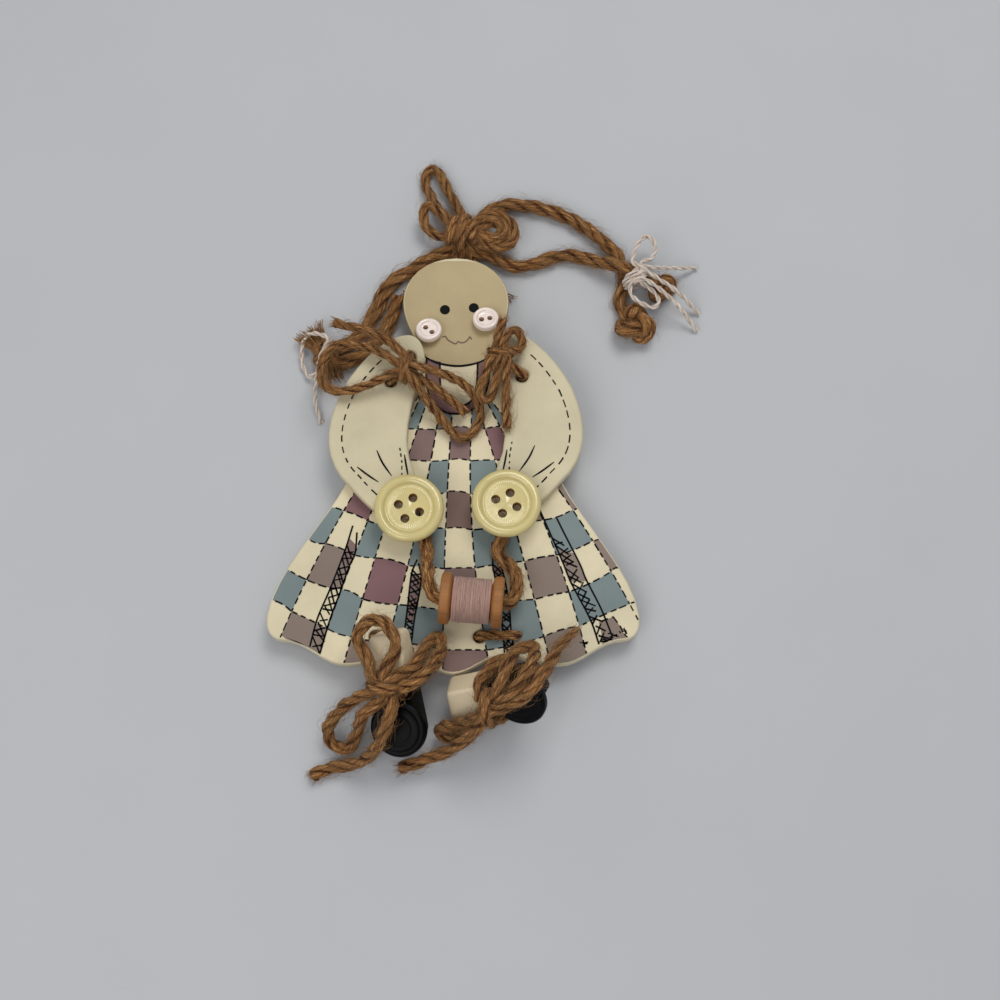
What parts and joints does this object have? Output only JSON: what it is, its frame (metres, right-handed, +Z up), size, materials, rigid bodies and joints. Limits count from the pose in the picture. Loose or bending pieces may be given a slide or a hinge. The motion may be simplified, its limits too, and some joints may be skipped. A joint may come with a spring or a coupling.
{
  "type": "rag doll ornament",
  "caption": "Flat painted wooden rag doll ornament with button hands, cheeks and shoes, jute hair and bows, swinging legs and a thread spool on a cord.",
  "frame": {"origin": "on the table under the middle of the doll's board and legs, as it lies on its back; loose jute and thread are left out of the measure", "axes": "+Y towards the head, +Z up out of the face, +X to the viewer's right"},
  "size_m": [0.1014, 0.152, 0.0281],
  "materials": {
    "painted_wood": "cream paint, satin",
    "leg_wood": "white paint, black foot end, satin",
    "cream_button": "glossy moulded plastic",
    "pearl_button": "pearly plastic",
    "black_button": "black, semi-gloss",
    "spool_wood": "bare turned wood",
    "pink_thread": "cotton sewing thread",
    "pale_thread": "pale pink twisted thread",
    "jute": "hairy twisted jute"
  },
  "bodies": {
    "doll": {"body_board": "painted_wood", "arm_left": "painted_wood", "arm_right": "painted_wood", "hand_button_left": "cream_button", "hand_button_right": "cream_button", "cheek_button_left": "pearl_button", "cheek_button_right": "pearl_button", "arm_lashing_left": "jute", "arm_lashing_right": "jute", "shoulder_knot_left": "jute", "shoulder_knot_right": "jute", "shoulder_bow_left": "jute", "shoulder_bow_right": "jute", "hand_cord_end_left": "jute", "hand_cord_end_right": "jute", "hem_stitch_left": "jute", "hem_stitch_right": "jute", "hair_band": "jute", "topknot": "jute", "topknot_loops": "jute", "hanging_loop": "jute", "pigtail_left": "jute", "pigtail_right": "jute", "pigtail_knot_left": "jute", "pigtail_knots_right": "jute", "thread_bow_left": "pale_thread", "thread_bow_right": "pale_thread"},
    "hand_cord": {"hand_cord": "jute"},
    "spool": {"spool": "spool_wood", "thread_core": "pink_thread", "thread_winding": "pink_thread"},
    "left_leg": {"leg_left": "leg_wood", "shoe_button_left": "black_button", "leg_cord_left": "jute", "ankle_wrap_left": "jute", "ankle_knot_left": "jute", "ankle_bow_left": "jute"},
    "right_leg": {"leg_right": "leg_wood", "shoe_button_right": "black_button", "leg_cord_right": "jute", "ankle_wrap_right": "jute", "ankle_knot_right": "jute", "ankle_bow_right": "jute"}
  },
  "joints": [
    {"name": "cord_swing", "type": "hinge", "parent": "doll", "child": "hand_cord", "pos_m": [0.002, -0.0132, 0.00795], "axis": [-1, 0, 0], "range_deg": [0, 60]},
    {"name": "spool_spin", "type": "hinge", "parent": "hand_cord", "child": "spool", "pos_m": [0.0043, -0.0256, 0.0124], "axis": [0.9962, -0.0872, 0], "continuous": true},
    {"name": "left_leg_swing", "type": "hinge", "parent": "doll", "child": "left_leg", "pos_m": [-0.014, -0.0326, 0.0075], "axis": [-1, 0, 0], "range_deg": [0, 35]},
    {"name": "right_leg_swing", "type": "hinge", "parent": "doll", "child": "right_leg", "pos_m": [0.01025, -0.0326, 0.0075], "axis": [-1, 0, 0], "range_deg": [0, 35]}
  ]
}
